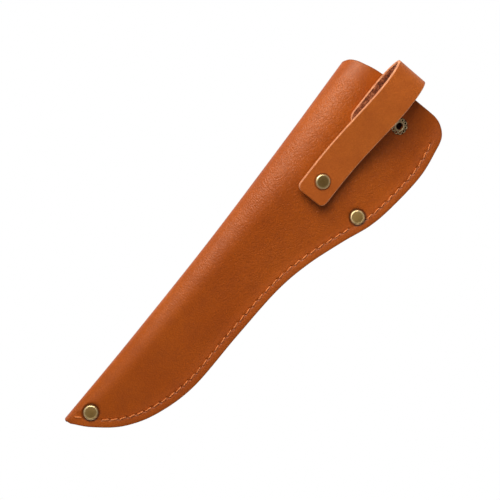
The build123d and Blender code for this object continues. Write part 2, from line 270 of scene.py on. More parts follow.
# ------------------------------------------------------------------ materials
WHITE = (1.0, 1.0, 1.0, 1.0)
BLACK = (0.0, 0.0, 0.0, 1.0)
LEATHER_SHEEN = (1.0, 0.85, 0.70, 1.0)


class Shader:
    """A material and short calls for its nodes."""

    def __init__(self, name, roughness, metallic=0.0, specular=0.5):
        self.material = bpy.data.materials.new(name)
        self.material.use_nodes = True
        self.tree = self.material.node_tree
        self.surface = self.tree.nodes["Principled BSDF"]
        self.surface.inputs["Roughness"].default_value = roughness
        self.surface.inputs["Metallic"].default_value = metallic
        self.surface.inputs["Specular IOR Level"].default_value = specular

    def node(self, kind, settings=(), **inputs):
        """New node. An underscore in an input's name stands for a space."""
        node = self.tree.nodes.new(kind)
        for key, value in dict(settings).items():
            setattr(node, key, value)
        for key, value in inputs.items():
            self.feed(node.inputs[key.replace("_", " ")], value)
        return node

    def feed(self, socket, value):
        """Link another node's output to a socket, or set the socket to a fixed value."""
        if isinstance(value, bpy.types.NodeSocket):
            self.tree.links.new(value, socket)
        else:
            socket.default_value = value

    def coordinates(self, kind):
        return self.node("ShaderNodeTexCoord").outputs[kind]

    def stretched(self, vector, scale):
        return self.node("ShaderNodeMapping", Vector=vector, Scale=scale).outputs["Vector"]

    def noise(self, vector, scale, detail=3.0, roughness=0.5, output="Fac"):
        node = self.node("ShaderNodeTexNoise", Vector=vector, Scale=scale, Detail=detail, Roughness=roughness)
        return node.outputs[output]

    def cells(self, vector, scale, feature="F1"):
        node = self.node("ShaderNodeTexVoronoi", {"feature": feature}, Vector=vector, Scale=scale)
        return node.outputs["Distance"]

    def ramp(self, value, stops):
        """Colour picked by a value from two or more (position, colour) stops."""
        node = self.node("ShaderNodeValToRGB", Fac=value)
        band = node.color_ramp.elements
        while len(band) < len(stops):
            band.new(0.5)
        for element, (position, colour) in zip(band, stops):
            element.position = position
            element.color = colour
        return node.outputs["Color"]

    def level(self, value, low, high, to_low=0.0, to_high=1.0):
        """A value's range from low to high, stretched to another range."""
        node = self.node("ShaderNodeMapRange", Value=value, From_Min=low, From_Max=high,
                         To_Min=to_low, To_Max=to_high)
        return node.outputs["Result"]

    def mix(self, factor, first, second, blend="MIX"):
        node = self.node("ShaderNodeMixRGB", {"blend_type": blend}, Fac=factor, Color1=first, Color2=second)
        return node.outputs["Color"]

    def combine(self, first, second, operation="ADD"):
        node = self.node("ShaderNodeMath", {"operation": operation})
        self.feed(node.inputs[0], first)
        self.feed(node.inputs[1], second)
        return node.outputs["Value"]

    def attribute(self, name):
        return self.node("ShaderNodeAttribute", {"attribute_name": name}).outputs["Fac"]

    def bump(self, height, distance, strength=1.0, under=None):
        """Relief from a height, on top of another bump where one is given."""
        node = self.node("ShaderNodeBump", Height=height, Distance=distance, Strength=strength)
        if under is not None:
            self.feed(node.inputs["Normal"], under)
        return node.outputs["Normal"]

    def finish(self, colour, roughness=None, normal=None):
        """Feed the surface and give the material."""
        self.feed(self.surface.inputs["Base Color"], colour)
        if roughness is not None:
            self.feed(self.surface.inputs["Roughness"], roughness)
        if normal is not None:
            self.feed(self.surface.inputs["Normal"], normal)
        return self.material


def rgb(red, green, blue):
    """Linear colour from display values of 0 to 255, by the sRGB curve without its straight foot."""
    return (*(((c / 255 + 0.055) / 1.055) ** 2.4 for c in (red, green, blue)), 1.0)


def darker(colour, share):
    """A colour with this share of its light."""
    return (*(c * share for c in colour[:3]), 1.0)


def grain_leather(name, coordinates, base, deep, warm, relief):
    """Satin leather: fine pebbled grain, soft colour drift, and painted shade in the grain's hollows, where
    it is pierced and round a cap.
    """
    s = Shader(name, roughness=0.42, specular=0.44)
    s.surface.inputs["Specular Tint"].default_value = LEATHER_SHEEN
    where = s.coordinates(coordinates)
    wander = s.noise(where, scale=420.0, detail=2.0, output="Color")
    bent = s.mix(0.0006, where, wander, "LINEAR_LIGHT")
    pebble = s.cells(bent, scale=980.0)
    crease = s.cells(bent, scale=820.0, feature="DISTANCE_TO_EDGE")
    fine = s.noise(where, scale=2600.0, detail=4.0, roughness=0.6)
    drift = s.noise(where, scale=17.0, detail=3.0, roughness=0.55)
    cloud = s.noise(where, scale=95.0, detail=4.0, roughness=0.6)

    colour = s.mix(s.level(drift, low=0.35, high=0.68), base, warm)
    colour = s.mix(s.level(cloud, low=0.42, high=0.75, to_high=0.35), colour, deep)
    # Painted shade: darker in the hollows between pebbles and along the grain's crease lines
    colour = s.mix(s.level(pebble, low=0.25, high=0.75, to_high=0.22), colour, deep)
    colour = s.mix(s.level(crease, low=0.0, high=0.08, to_low=0.22, to_high=0.0), colour, deep)
    # Painted shade: near black in the seam's needle holes, faint in its groove, and in a ring round each cap
    shaded = s.combine(s.attribute("painted_shade"), 0.93, "MULTIPLY")
    colour = s.mix(shaded, colour, darker(deep, 0.10))
    colour = s.mix(s.attribute("burnish"), colour, darker(warm, 0.72))

    shine = s.combine(s.level(cloud, low=0.3, high=0.7, to_low=0.38, to_high=0.46),
                      s.level(fine, low=0.3, high=0.7, to_low=-0.03, to_high=0.04))
    strength = s.level(s.attribute("calm"), low=0.0, high=1.0, to_low=relief, to_high=0.25 * relief)
    normal = s.bump(s.level(crease, low=0.0, high=0.22), distance=0.00005, strength=strength)
    normal = s.bump(pebble, distance=-0.00022, strength=strength, under=normal)
    normal = s.bump(fine, distance=0.00004, strength=strength, under=normal)
    return s.finish(colour, shine, normal)


def flesh_leather(name, coordinates, dark, mid, light):
    """Rough inner side of leather: short matted fibres, light tufts in a dark ground."""
    s = Shader(name, roughness=0.92, specular=0.15)
    s.surface.inputs["Sheen Weight"].default_value = 0.1
    s.surface.inputs["Sheen Roughness"].default_value = 0.6
    where = s.coordinates(coordinates)
    tufts = s.noise(where, scale=900.0, detail=5.0, roughness=0.7)
    clumps = s.noise(where, scale=330.0, detail=3.0, roughness=0.6)
    patches = s.noise(where, scale=60.0, detail=2.0)
    matted = s.combine(s.combine(tufts, 0.6, "MULTIPLY"), s.combine(clumps, 0.4, "MULTIPLY"))
    colour = s.ramp(matted, [(0.38, dark), (0.50, mid), (0.62, light)])
    colour = s.mix(s.level(patches, low=0.35, high=0.7, to_high=0.35), colour, dark)
    return s.finish(colour, normal=s.bump(matted, distance=0.0005, strength=0.9))


def cut_edge(name, coordinates, face, fibre):
    """Cut edge of leather, lightly burnished, with its layers of fibre just showing."""
    s = Shader(name, roughness=0.55, specular=0.35)
    where = s.coordinates(coordinates)
    layers = s.noise(s.stretched(where, (1.0, 1.0, 5.0)), scale=420.0, detail=4.0, roughness=0.65)
    specks = s.noise(where, scale=1500.0, detail=3.0, roughness=0.7)
    colour = s.mix(s.level(layers, low=0.35, high=0.7), face, fibre)
    colour = s.mix(s.level(specks, low=0.5, high=0.8, to_high=0.3), colour, darker(fibre, 0.6))
    fibres = s.combine(layers, specks)
    return s.finish(colour, normal=s.bump(fibres, distance=0.00008, strength=0.6))


def waxed_thread(name, base, dark):
    """Tightly twisted waxed thread: fine filaments that run along the ply."""
    s = Shader(name, roughness=0.7, specular=0.15)
    along = s.coordinates("UV")
    filaments = s.noise(s.stretched(along, (1.0, 9.0, 1.0)), scale=900.0, detail=3.0, roughness=0.6)
    patches = s.noise(along, scale=160.0, detail=2.0)
    colour = s.mix(s.level(filaments, low=0.35, high=0.7), dark, base)
    colour = s.mix(s.level(patches, low=0.4, high=0.8, to_high=0.35), colour, dark)
    return s.finish(colour, normal=s.bump(filaments, distance=0.00006, strength=0.7))


def aged_brass(name, bright, dull, tarnish, roughness):
    """Antiqued brass: rubbed bright on its rim, with a painted highlight there, dull and spotted where it
    isn't touched.
    """
    s = Shader(name, roughness, metallic=1.0)
    where = s.coordinates("Object")
    spots = s.noise(where, scale=1100.0, detail=4.0, roughness=0.65)
    cloud = s.noise(where, scale=330.0, detail=3.0, roughness=0.6)
    scratches = s.noise(s.stretched(where, (9.0, 1.0, 1.0)), scale=700.0, detail=3.0, roughness=0.7)
    # Rubbed rims and the tops of curls are painted bright: wear together with a painted highlight
    colour = s.mix(s.attribute("rub_and_glint"), dull, bright)
    colour = s.mix(s.level(cloud, low=0.45, high=0.75, to_high=0.5), colour, tarnish)
    colour = s.mix(s.level(spots, low=0.58, high=0.72, to_high=0.45), colour, tarnish)
    shine = s.combine(s.level(cloud, low=0.3, high=0.7, to_low=roughness - 0.05, to_high=roughness + 0.10),
                      s.level(s.attribute("rub_and_glint"), low=0.0, high=1.0, to_low=0.04, to_high=0.08))
    normal = s.bump(scratches, distance=0.00001, strength=0.5)
    normal = s.bump(spots, distance=0.00002, strength=0.4, under=normal)
    return s.finish(colour, shine, normal)


def drawn_wire(name):
    """Bright spring wire with fine drawing lines."""
    s = Shader(name, roughness=0.28, metallic=1.0)
    where = s.stretched(s.coordinates("Object"), (1.0, 6.0, 1.0))
    lines = s.noise(where, scale=2200.0, detail=3.0, roughness=0.6)
    colour = s.mix(s.level(lines, low=0.3, high=0.7), rgb(150, 148, 142), rgb(196, 194, 188))
    return s.finish(colour, normal=s.bump(lines, distance=0.00001, strength=0.5))


def floor_paper():
    """White paper that stays white in the picture."""
    s = Shader("floor_paper", roughness=1.0, specular=0.0)
    s.surface.inputs["Emission Color"].default_value = WHITE
    s.surface.inputs["Emission Strength"].default_value = 1.0
    return s.finish(BLACK)


TAN = grain_leather(
    "tan_leather", "Object", base=rgb(170, 77, 12), deep=rgb(134, 54, 6), warm=rgb(181, 87, 18), relief=0.95)
STRAP_TAN = grain_leather(
    "strap_leather", "UV", base=rgb(183, 92, 30), deep=rgb(150, 67, 16), warm=rgb(192, 101, 37), relief=0.5)
FLESH = flesh_leather(
    "strap_flesh_side", "UV", dark=rgb(48, 18, 8), mid=rgb(146, 72, 38), light=rgb(206, 128, 88))
# The sheath's flesh side is painted darker than the strap's, as the shade seen through the eyelet's hole
SHADED_LINING = flesh_leather(
    "sheath_flesh_side_painted_shade", "Object", dark=rgb(38, 18, 10), mid=rgb(76, 40, 24), light=rgb(118, 70, 46))
STRAP_EDGE = cut_edge("strap_cut_edge", "UV", face=rgb(222, 150, 104), fibre=rgb(196, 118, 76))
BODY_EDGE = cut_edge("sheath_cut_edge", "Object", face=rgb(168, 88, 46), fibre=rgb(128, 62, 32))
WELT_EDGE = cut_edge("welt_cut_edge", "Object", face=rgb(150, 78, 42), fibre=rgb(112, 54, 28))
THREAD = waxed_thread("waxed_thread", base=rgb(242, 154, 90), dark=rgb(210, 116, 62))
BRASS = aged_brass(
    "antique_brass", bright=rgb(255, 228, 174), dull=rgb(172, 136, 76), tarnish=rgb(92, 68, 34),
    roughness=0.36)
ROSETTE_BRASS = aged_brass(
    "aged_brass", bright=rgb(255, 230, 186), dull=rgb(124, 102, 66), tarnish=rgb(44, 34, 20),
    roughness=0.38)
# Nearly black brass for the eyelet's cup and bore: painted shade inside the hole and in the recess round the
# petals
DARK_BRASS = aged_brass(
    "dark_brass_with_painted_shade", bright=rgb(104, 88, 60), dull=rgb(52, 42, 28), tarnish=rgb(26, 20, 14),
    roughness=0.5)
SPRING = drawn_wire("spring_wire")

# Order of the materials on a piece of leather
GRAIN_SIDE, EDGE_SIDE, FLESH_SIDE = range(3)


# ------------------------------------------------------------------ sheath body
# Mesh: rows from the tip to the mouth, and columns from the sewn edge over the fold to the back's edge
ROWS = 560
SEAM_COLUMNS = 24
PANEL_COLUMNS = 62
ROLL_COLUMNS = 32
BACK_COLUMNS = 46
BACK_CROWDING = 0.8
FRONT_MARK_COLUMNS = SEAM_COLUMNS + 4
BACK_MARK_COLUMNS = BACK_COLUMNS // 2
TABLE_ROWS = 700
MOUTH_REACH = max(along for _, along in MOUTH_RIM)
MOUTH_PASSES = 6
RIM_STEPS = 20
# Largest share of the width that the seam's flat and the fold may take where the sheath is narrow
SEAM_SHARE = 0.5
FOLD_SHARE = 0.62
# Softness of the crease beside the seam, and how far the leather is pressed thinner at its edge
CREASE = 1.6
EDGE_PRESS = 0.3
EDGE_PRESS_WIDTH = 1.2
# How strongly the fold's curves pull at each of their ends
ROLL_FROM_RIDGE = 0.6
ROLL_ABOVE_FOLD = 0.55
ROLL_BELOW_FOLD = 0.45
ROLL_TO_BACK = 0.55
# Marks of the seam, with the painted shade in its groove and needle holes
GROOVE_DEPTH = 0.12
GROOVE_WIDTH = 0.8
GROOVE_SHADE = 0.08
HOLE_DEPTH = 0.5
HOLE_RADIUS = 0.8
HOLE_SHADE = 0.85
HOLE_ROUNDNESS = 1.5
# Seats of the seam rivets, and the flat tip
PRESS_DEPTH = 0.1
PRESS_RADIUS = 4.4
PRESS_SLOPE = 0.9
PRESS_EASE = 0.5
TIP_FLATNESS = 0.15
TIP_FLAT_TO = 5.0
TIP_SLOPE = 0.25
BACK_SEAT_FULL = 1.0
BACK_SEAT_FADE = 3.0
BACK_SEAT_DEPTH = 0.2
# Painted shade ring round a cap: its strength, its distance past the cap and its width
BODY_RING_SHADE = (0.9, 0.3, 0.65)
STRAP_RING_SHADE = (0.75, 0.15, 0.45)
EYELET_OPENING = 2.4
# Where the grain is pressed smooth, and how much of that reaches along the sewn edge
SMOOTH_FROM = 40.0
SMOOTH_TO = 190.0
SMOOTH_EDGE = 14.0
SMOOTH_FADE = 5.0
SMOOTH_SEAM = 0.8
BURNISH_WIDTH = 0.9
# Waves of soft leather: height, lengths along and across, and start. They fade in above the seam
SWAYS = [(0.16, 23.0, 17.0, 0.0), (0.11, 9.7, -13.0, 1.0), (0.07, 31.0, 5.5, 0.0)]
SWAY_ABOVE = 0.5
SWAY_FADE = 3.0
# Rounded cut edge: share of the way from one skin to the other, and how far it stands out
RIM_SHAPE = [(0.08, 0.55), (0.3, 1.0), (0.7, 1.0), (0.92, 0.55)]
EDGE_BULGE = 0.35
WELT_BULGE = 0.2


def plan_of(node):
    """Where a node's middle stands in plan, in millimetres from the tip end of the fold."""
    centre = node_centre(node)
    return np.array((centre.x / MM - TIP_X, centre.y / MM - FOLD_Y))


EYELET_PLACE = np.array((*plan_of("eyelet_washer"), node_centre("eyelet_washer").z / MM))
SEAM_RIVETS = [plan_of("tip_rivet_cap"), plan_of("throat_rivet_cap")]


def stitch_places():
    """Middle and direction of every stitch, in plan. None lies under a rivet's cap."""
    line, along, at = seam_line(STITCH_INSET)
    clear = CAP_RADIUS + STITCH_LENGTH / 2
    count = round((SEAM_LAST - SEAM_FIRST) * at[-1] / STITCH_PITCH)
    places = []
    for number in range(count + 1):
        k = round((SEAM_FIRST + (SEAM_LAST - SEAM_FIRST) * number / count) * (len(at) - 1))
        if all(np.linalg.norm(line[k] - rivet) > clear for rivet in SEAM_RIVETS):
            places.append((line[k], along[k]))
    return places


def stitch_ends(centre, along, slant):
    """The two holes of one stitch, in plan."""
    turned = np.array([along[0] * math.cos(slant) - along[1] * math.sin(slant),
                       along[0] * math.sin(slant) + along[1] * math.cos(slant)])
    return centre - turned * STITCH_LENGTH / 2, centre + turned * STITCH_LENGTH / 2


def bezier(points, t):
    """Cubic curves for many rows at once, through four arrays of control points."""
    t = t[None, :, None]
    a, b, c, d = (point[:, None] for point in points)
    return (1 - t) ** 3 * a + 3 * (1 - t) ** 2 * t * b + 3 * (1 - t) * t**2 * c + t**3 * d


def section_rows(x):
    """Outer skin's (across, height) at each x: front seam, front panel, rolled fold, back panel."""
    none = np.zeros_like(x)
    seam = seam_across(x)
    fold = fold_across(x)
    flat = seam + np.minimum(SEAM_WIDTH, -SEAM_SHARE * seam)
    ridge = fold - np.minimum(ridge_across(x), -FOLD_SHARE * flat)
    back = fold - np.minimum(BACK_START, -FOLD_SHARE * flat)
    slope = (ridge_height(x) - SEAM_STACK) / (ridge - flat)

    def front(start, end, t):
        across = start[:, None] + (end - start)[:, None] * t
        bend = CREASE * np.logaddexp(0, (across - flat[:, None]) / CREASE)
        pressed = EDGE_PRESS * np.exp((seam[:, None] - across) / EDGE_PRESS_WIDTH)
        return np.stack([across, SEAM_STACK + slope[:, None] * bend - pressed], axis=2)

    seam_part = front(seam, flat, np.linspace(0, 1, SEAM_COLUMNS, endpoint=False))
    panel = front(flat, ridge, np.linspace(0, 1, PANEL_COLUMNS, endpoint=False))

    # The fold rolls from the top of the panel out to its middle, and from there under to the back
    top = front(flat, ridge, np.array([1.0]))[:, 0]
    middle = np.column_stack([fold, FOLD_RATIO * top[:, 1]])
    ground = np.column_stack([back, none])
    from_top = top + ROLL_FROM_RIDGE * (fold - ridge)[:, None] * np.column_stack([none + 1, slope])
    to_middle = middle + np.column_stack([none, ROLL_ABOVE_FOLD * (top[:, 1] - middle[:, 1])])
    from_middle = middle * [1, ROLL_BELOW_FOLD]
    to_ground = ground + np.column_stack([ROLL_TO_BACK * (fold - back), none])
    t = np.linspace(0, 1, ROLL_COLUMNS // 2, endpoint=False)
    upper_roll = bezier((top, from_top, to_middle, middle), t)
    lower_roll = bezier((middle, from_middle, to_ground, ground), t)

    across = back[:, None] + (seam - back)[:, None] * np.linspace(0, 1, BACK_COLUMNS) ** BACK_CROWDING
    back_panel = np.stack([across, np.zeros_like(across)], axis=2)
    return np.concatenate([seam_part, panel, upper_roll, lower_roll, back_panel], axis=1)


def surface_normals(grid):
    """Outward normals of a grid of points."""
    normal = np.cross(np.gradient(grid, axis=0), np.gradient(grid, axis=1))
    return normal / np.maximum(np.linalg.norm(normal, axis=2), TINY)[:, :, None]


def near(points, targets):
    """Distance in plan from each grid point to the nearest target."""
    best = np.full(points.shape[:2], np.inf)
    for target in targets:
        best = np.minimum(best, np.hypot(points[:, :, 0] - target[0], points[:, :, 1] - target[1]))
    return best


def sheath_grid():
    """Outer skin of the folded leather as rows from the tip to the mouth, in millimetres."""
    stations = np.linspace(SEAM_CURVE[0][0], MOUTH_REACH, TABLE_ROWS)
    table = section_rows(stations)
    columns = table.shape[1]

    # Each column stops at the mouth's rim, which is found in a few passes
    rim_across, rim_along = catmull(MOUTH_RIM, RIM_STEPS).T
    reach = np.full(columns, stations[-1])
    for _ in range(MOUTH_PASSES):
        mouth = [np.interp(reach[k], stations, table[:, k, 0]) for k in range(columns)]
        reach = np.interp(mouth, rim_across, rim_along)
    x = stations[0] + (reach - stations[0]) * np.linspace(0, 1, ROWS)[:, None]
    grid = np.empty((ROWS, columns, 3))
    grid[:, :, 0] = x
    for k in range(columns):
        grid[:, k, 1] = np.interp(x[:, k], stations, table[:, k, 0])
        grid[:, k, 2] = np.interp(x[:, k], stations, table[:, k, 1])

    # The leather is pressed down round each seam rivet to the cap's seat, and flat at the tip
    beyond = np.clip(near(grid, SEAM_RIVETS) - PRESS_RADIUS, 0, None)
    by_rivet = SEAM_STACK - PRESS_DEPTH + PRESS_SLOPE * beyond
    by_tip = SEAM_STACK + TIP_FLATNESS + TIP_SLOPE * np.clip(x - TIP_FLAT_TO, 0, None)
    above = grid[:, :, 2] - np.minimum(by_rivet, by_tip)
    grid[:, :, 2] -= (above + np.sqrt(above * above + PRESS_EASE ** 2)) / 2

    # On the back it is drawn in a little, so the rivets' back halves show
    fade = np.clip((BACK_SEAT_FADE - beyond) / (BACK_SEAT_FADE - BACK_SEAT_FULL), 0, 1)
    grid[:, :, 2] += BACK_SEAT_DEPTH * (fade * (grid[:, :, 2] < LEATHER))
    return grid


def pressed_marks(grid, columns, slant):
    """Depth that the seam's groove and needle holes leave on some columns, and the painted shade in them."""
    part = grid[:, columns]
    line, _, _ = seam_line(STITCH_INSET)
    holes = [end for centre, along in stitch_places() for end in stitch_ends(centre, along, slant)]
    groove = np.exp(-(near(part, line) / GROOVE_WIDTH) ** 2)
    hole = np.clip(1 - (near(part, holes) / HOLE_RADIUS) ** 2, 0, 1) ** HOLE_ROUNDNESS
    depth = np.zeros(grid.shape[:2])
    painted_shade = np.zeros(grid.shape[:2])
    depth[:, columns] = GROOVE_DEPTH * groove + HOLE_DEPTH * hole
    painted_shade[:, columns] = GROOVE_SHADE * groove + HOLE_SHADE * hole
    return depth, painted_shade


def ring_shade(distance, strength, offset, width):
    """Painted shade ring on the leather round a cap, from the distance to the cap's middle."""
    return strength * np.exp(-((distance - CAP_RADIUS - offset) / width) ** 2)


def sway(x, y):
    """Gentle waviness of soft leather, in millimetres."""
    return sum(height * np.sin(x / along + y / across + start) for height, along, across, start in SWAYS)


def closed_rim(outer, inner, first, previous, last, bulge):
    """Rounded cut edge between two skins, whose rings have the vertex numbers previous and last.

    Gives its points, which are numbered from first, and its faces.
    """
    along = np.roll(outer, -1, axis=0) - np.roll(outer, 1, axis=0)
    away = np.cross(along, outer - inner)
    away /= np.maximum(np.linalg.norm(away, axis=1), TINY)[:, None]
    points, faces = [], []
    for share, proud in RIM_SHAPE:
        points.append(outer + (inner - outer) * share + away * proud * bulge)
        current = first + np.arange(len(outer))
        first += len(outer)
        faces.append(np.column_stack([previous, current, np.roll(current, -1), np.roll(previous, -1)]))
        previous = current
    faces.append(np.column_stack([previous, last, np.roll(last, -1), np.roll(previous, -1)]))
    return np.vstack(points), np.vstack(faces)


def ring_of(index):
    """Vertex numbers round the border of a grid."""
    return np.concatenate([index[:, 0], index[-1, 1:], index[-2::-1, -1], index[0, -2:0:-1]])


def two_skins(outer, inner, bulge):
    """Outer skin's vertex numbers, the points of both skins and their cut edge, and that edge's faces."""
    index = np.arange(outer.shape[0] * outer.shape[1]).reshape(outer.shape[:2])
    ring = ring_of(index)
    flat_outer, flat_inner = outer.reshape(-1, 3), inner.reshape(-1, 3)
    rim_points, rim_faces = closed_rim(
        flat_outer[ring], flat_inner[ring], 2 * index.size, ring, ring + index.size, bulge)
    return index, np.vstack([flat_outer, flat_inner, rim_points]), rim_faces


def build_body(grid):
    """The folded sheet, with its seam marks and its cut edges."""
    columns = grid.shape[1]
    x, y, z = np.moveaxis(grid, 2, 0)
    front_depth, front_shade = pressed_marks(grid, slice(0, FRONT_MARK_COLUMNS), STITCH_SLANT)
    back_depth, back_shade = pressed_marks(grid, slice(columns - BACK_MARK_COLUMNS, columns), -STITCH_SLANT)
    soft = np.clip((z - SEAM_STACK - SWAY_ABOVE) / SWAY_FADE, 0, 1)
    normal = surface_normals(grid)
    outer = grid - normal * (front_depth + back_depth - soft * sway(x, y))[:, :, None]
    inner = grid - normal * LEATHER
    inner[:, :, 2] = np.clip(inner[:, :, 2], LEATHER, None)
    index, points, rim_faces = two_skins(outer, inner, EDGE_BULGE)

    # Both skins are left open inside the eyelet
    axis = np.array(STRAP_OUT)
    skin_points = points[: index.size]
    offset = skin_points - EYELET_PLACE
    radial = offset - np.outer(offset @ axis, axis)
    pierced = (np.linalg.norm(radial, axis=1) < EYELET_OPENING) & (skin_points[:, 2] > SEAM_STACK)
    outer_faces = quads(index, True)
    keep = ~pierced[outer_faces].all(axis=1)
    outer_faces = outer_faces[keep]
    inner_faces = quads(index + index.size, False)[keep]
    faces = np.vstack([outer_faces, inner_faces, rim_faces])
    sides = [GRAIN_SIDE] * len(outer_faces) + [FLESH_SIDE] * len(inner_faces) + [EDGE_SIDE] * len(rim_faces)
    body = make_mesh(
        "sheath_leather", [place(p) for p in points], faces.tolist(), [TAN, BODY_EDGE, SHADED_LINING], sides)

    # The outer skin gets painted shade in the seam's groove and holes and round the caps, is burnished at its
    # edge, and its grain is pressed smooth towards the tip and along the sewn edge
    from_edge = np.minimum(np.abs(y - seam_across(x)), x[-1] - x)
    cap_ring_shade = ring_shade(near(grid, SEAM_RIVETS), *BODY_RING_SHADE)
    towards_tip = np.clip((SMOOTH_TO - x) / (SMOOTH_TO - SMOOTH_FROM), 0, 1)
    by_seam = np.clip((SMOOTH_EDGE - from_edge) / SMOOTH_FADE, 0, 1)
    for name, on_skin in (
        ("painted_shade", np.clip(front_shade + back_shade + cap_ring_shade, 0, 1)),
        ("burnish", np.exp(-from_edge / BURNISH_WIDTH)),
        ("calm", np.maximum(towards_tip, SMOOTH_SEAM * by_seam)),
    ):
        values = np.zeros(len(points))
        values[: index.size] = on_skin.ravel()
        write_attribute(body, name, values)
    return body


def build_welt(grid):
    """Strip of leather sewn in between the two panels."""
    top = grid[:, : SEAM_COLUMNS + 1].copy()
    bottom = top.copy()
    top[:, :, 2] = SEAM_STACK - LEATHER
    bottom[:, :, 2] = LEATHER
    index, points, rim_faces = two_skins(top, bottom, WELT_BULGE)
    faces = np.vstack([quads(index, True), quads(index + index.size, False), rim_faces])
    return make_mesh("seam_welt", [place(p) for p in points], faces.tolist(), [WELT_EDGE])


# ------------------------------------------------------------------ belt-loop strap
EDGE_RADIUS = 0.55
EDGE_STEPS = 5
EDGE_SWELL = 0.08
SIDE_POINTS = 61
PATH_STEPS = 30
PATH_SPACING = 0.25
# Length of the finer stretch at each end of the strap, the points in it, and the spacing elsewhere
FINE_LENGTH = 7.0
FINE_POINTS = 20
STRAP_SPACING = 0.4
# How much a free end thins at its cut, and over what length
END_THINNING = 0.35
END_FADE = 0.25


def strap_outline():
    """Points round the strap's cross-section as (side, out, kind of surface), with its grain side up."""
    half, thick = STRAP_WIDTH / 2, LEATHER / 2
    flat = half - EDGE_RADIUS
    shoulder = thick - EDGE_RADIUS
    side = np.linspace(-1, 1, SIDE_POINTS) * flat
    turns = np.linspace(0, math.pi / 2, EDGE_STEPS)[1:-1]
    edge = [(flat + EDGE_RADIUS * math.sin(a), shoulder + EDGE_RADIUS * math.cos(a)) for a in turns]
    edge += [(half, shoulder), (half + EDGE_SWELL, 0), (half, -thick + EDGE_RADIUS / 2)]
    points = [(v, thick, GRAIN_SIDE) for v in side]
    points += [(v, out, EDGE_SIDE) for v, out in edge]
    points += [(v, -thick, FLESH_SIDE) for v in side[::-1]]
    points += [(-v, out, EDGE_SIDE) for v, out in edge[::-1]]
    return points


def build_strap(name, path, at, corner_start, corner_end):
    """A stretch of the strap along part of its path, with rounded corners on a free end."""
    outline = strap_outline()
    half = STRAP_WIDTH / 2
    vertices, uvs = [], []
    for (along, out), (du, dw), distance in zip(path, directions(path), at):
        ends = [(corner_start, distance - at[0]), (corner_end, at[-1] - distance)]
        free_ends = [(corner, gone) for corner, gone in ends if corner]
        narrow = 0.0
        for corner, gone in free_ends:
            if gone < corner:
                narrow = corner - math.sqrt(max(corner**2 - (corner - gone) ** 2, 0))
        nearest = min((gone for _, gone in free_ends), default=math.inf)
        thin = 1 - END_THINNING * math.exp(-nearest / END_FADE)
        for side, rise, _ in outline:
            side = side * (half - narrow) / half
            lift = rise * thin
            vertices.append(strap_place(along + dw * lift, side, out - du * lift))
            uvs.append((distance * MM, side * MM))

    index = np.arange(len(vertices)).reshape(len(path), len(outline))
    faces = tube_quads(index, False)
    pairs = list(zip(outline, outline[1:] + outline[:1]))
    sides = [a[2] if a[2] == b[2] else EDGE_SIDE for a, b in pairs] * (len(path) - 1)
    if corner_start:
        faces.append(index[0][::-1].tolist())
        sides.append(EDGE_SIDE)
    if corner_end:
        faces.append(index[-1].tolist())
        sides.append(EDGE_SIDE)
    strap = make_mesh(name, vertices, faces, [STRAP_TAN, STRAP_EDGE, FLESH], sides, uvs)
    # Painted shade ring on the flap round the snap's cap
    plan = np.array([(along, side) for along, _ in path for side, _, _ in outline])
    from_cap = np.hypot(plan[:, 0] - SNAP, plan[:, 1])
    write_attribute(strap, "painted_shade", ring_shade(from_cap, *STRAP_RING_SHADE))
    return strap


def strap_stations():
    """The strap's path, finer near its free ends, with the distance along it."""
    path, at = even(catmull(STRAP_PATH, PATH_STEPS), PATH_SPACING)
    fine = np.linspace(0, 1, FINE_POINTS) ** 2 * FINE_LENGTH
    start = FINE_LENGTH + STRAP_SPACING
    stop = at[-1] - (FINE_LENGTH + STRAP_SPACING / 2)
    steps = np.concatenate([fine, np.arange(start, stop, STRAP_SPACING), at[-1] - fine[::-1]])
    return resample(path, at, steps), steps


# ------------------------------------------------------------------ stitches
PLY_RADIUS = 0.30
PLY_OFFSET = 0.15
TWIST = 2.0
THREAD_POINTS = 17
THREAD_SIDES = 8
# How deep a stitch dips into its holes, how high it lies, its arch, and the share of it that dips
THREAD_DIP = 0.9
THREAD_LIFT = 0.12
THREAD_ARCH = 0.06
DIP_SHARE = 0.13
# Step along the thread's texture from one stitch to the next
TEXTURE_STEP = 7.0


def build_thread(name, height, up, slant):
    """One row of two-ply stitches: each rises from a hole, lies over the leather and dips into the next."""
    vertices, faces, uvs = [], [], []
    t = np.linspace(0, 1, THREAD_POINTS)
    dip = np.clip(np.minimum(t, 1 - t) / DIP_SHARE, 0, 1)
    rise = -THREAD_DIP + (THREAD_DIP + THREAD_LIFT) * np.sin(dip * math.pi / 2)
    rise += THREAD_ARCH * np.sin(t * math.pi)
    around = np.linspace(0, 2 * math.pi, THREAD_SIDES, endpoint=False)
    for number, (centre, along) in enumerate(stitch_places()):
        first, last = stitch_ends(centre, along, slant)
        path = np.column_stack([first + (last - first) * t[:, None], height + up * rise])
        tangent = directions(path)
        side = np.cross(tangent, (0, 0, up))
        side /= np.linalg.norm(side, axis=1)[:, None]
        top = np.cross(side, tangent)
        run = distance_along(path)
        for ply in (0, math.pi):
            turn = run / TWIST * 2 * math.pi + ply + number
            core = path + PLY_OFFSET * (np.cos(turn)[:, None] * side + np.sin(turn)[:, None] * top)
            base = len(vertices)
            for k in range(THREAD_POINTS):
                for a in around:
                    away = math.cos(a) * side[k] + math.sin(a) * top[k]
                    vertices.append(place(core[k] + PLY_RADIUS * away))
                    uvs.append(((run[k] + TEXTURE_STEP * number) * MM, a * PLY_RADIUS * MM))
            index = base + np.arange(THREAD_POINTS * THREAD_SIDES).reshape(THREAD_POINTS, THREAD_SIDES)
            faces += tube_quads(index, up < 0)
            faces += [index[0].tolist(), index[-1][::-1].tolist()]
    return make_mesh(name, vertices, faces, [THREAD], uvs=uvs)


# ------------------------------------------------------------------ brass fittings
LATHE_STEPS = 72
